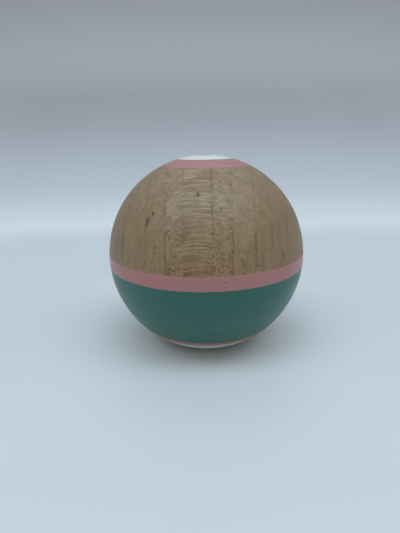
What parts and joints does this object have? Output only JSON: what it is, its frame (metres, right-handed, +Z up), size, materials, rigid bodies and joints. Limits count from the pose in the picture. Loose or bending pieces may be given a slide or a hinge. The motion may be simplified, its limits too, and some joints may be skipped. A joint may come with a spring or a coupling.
{
  "type": "wooden kendama ball",
  "caption": "Turned wooden ball with painted bands, a bevelled spike hole bored up from its rim and a narrow string hole at the top; the ball of a cup-and-ball toy.",
  "frame": {"origin": "on the turning axis, at the height of the rim that the ball stands on", "axes": "+Z up along the turning axis, from the spike hole to the string hole; +X to the right of the pictured side and -Y out of it"},
  "size_m": [0.06, 0.06, 0.0571],
  "materials": {
    "lacquered_wood": "pale quarter-sawn hardwood under satin lacquer, with satin white, pink and green painted bands"
  },
  "bodies": {
    "root": {"ball": "lacquered_wood"}
  },
  "joints": []
}
